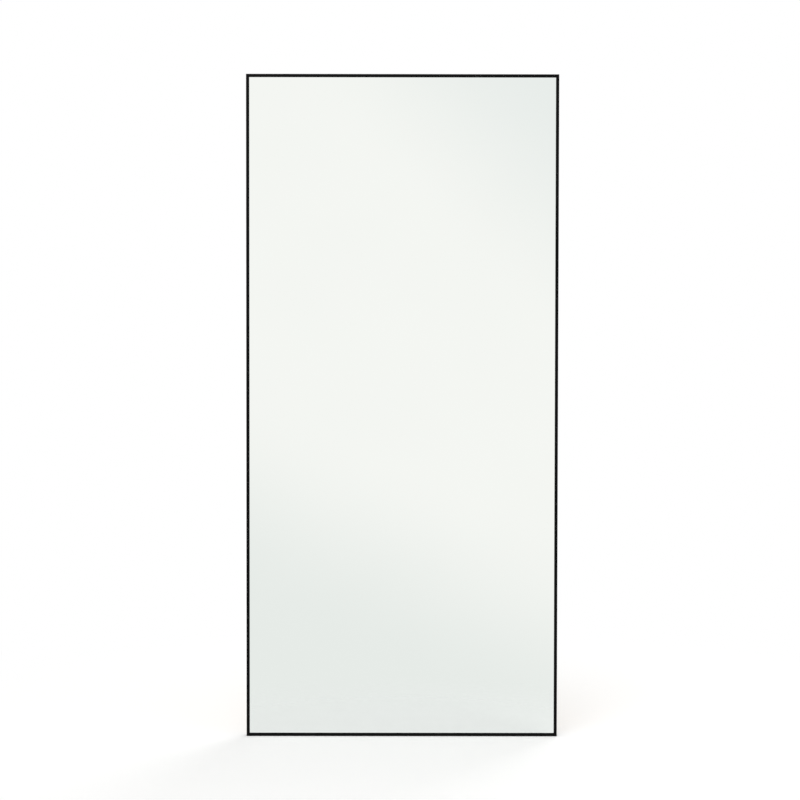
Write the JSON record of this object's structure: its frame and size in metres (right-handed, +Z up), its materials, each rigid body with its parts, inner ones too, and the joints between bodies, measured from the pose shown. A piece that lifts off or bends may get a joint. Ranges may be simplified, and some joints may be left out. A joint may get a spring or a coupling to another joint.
{
  "type": "full-length mirror",
  "caption": "Tall rectangular wall mirror: flat silvered glass in a thin black mitred metal frame, with a backing board and swinging D-rings that hang it on wall hooks.",
  "frame": {"origin": "middle of the bottom edge, on the plane of the wall that the frame's back lies against", "axes": "+X to the right as seen from the front, +Y towards the wall, +Z up; the glass faces -Y"},
  "size_m": [0.8, 0.025, 1.7],
  "materials": {
    "black_aluminium": "satin",
    "silvered_glass": "polished",
    "safety_film": "satin",
    "foam_tape": "matte",
    "backing_board": "matte",
    "black_rubber": "matte",
    "zinc_steel": "satin",
    "black_screw_steel": "satin",
    "nickel_wire": "polished"
  },
  "bodies": {
    "mirror": {"top_rail": "black_aluminium", "bottom_rail": "black_aluminium", "left_stile": "black_aluminium", "right_stile": "black_aluminium", "mirror_glass": "silvered_glass", "safety_film": "safety_film", "bonding_tape": "foam_tape", "backing_board": "backing_board", "glazing_tape_top": "black_rubber", "glazing_tape_bottom": "black_rubber", "glazing_tape_left": "black_rubber", "glazing_tape_right": "black_rubber", "edge_blocks": "black_rubber", "corner_key_top_left": "zinc_steel", "corner_key_top_right": "zinc_steel", "corner_key_bottom_left": "zinc_steel", "corner_key_bottom_right": "zinc_steel", "corner_shim_top_left": "zinc_steel", "corner_shim_top_right": "zinc_steel", "corner_shim_bottom_left": "zinc_steel", "corner_shim_bottom_right": "zinc_steel", "hanger_strap_left": "zinc_steel", "hanger_strap_right": "zinc_steel", "panel_screws": "zinc_steel", "hanger_screws": "zinc_steel", "corner_set_screws": "black_screw_steel"},
    "ring_left": {"hanger_ring_left": "nickel_wire"},
    "ring_right": {"hanger_ring_right": "nickel_wire"}
  },
  "joints": [
    {"name": "ring_left_swing", "type": "hinge", "parent": "mirror", "child": "ring_left", "pos_m": [-0.3, -0.00575, 1.4], "axis": [-1, 0, 0], "range_deg": [0, 180]},
    {"name": "ring_right_swing", "type": "hinge", "parent": "mirror", "child": "ring_right", "pos_m": [0.3, -0.00575, 1.4], "axis": [-1, 0, 0], "range_deg": [0, 180]}
  ]
}
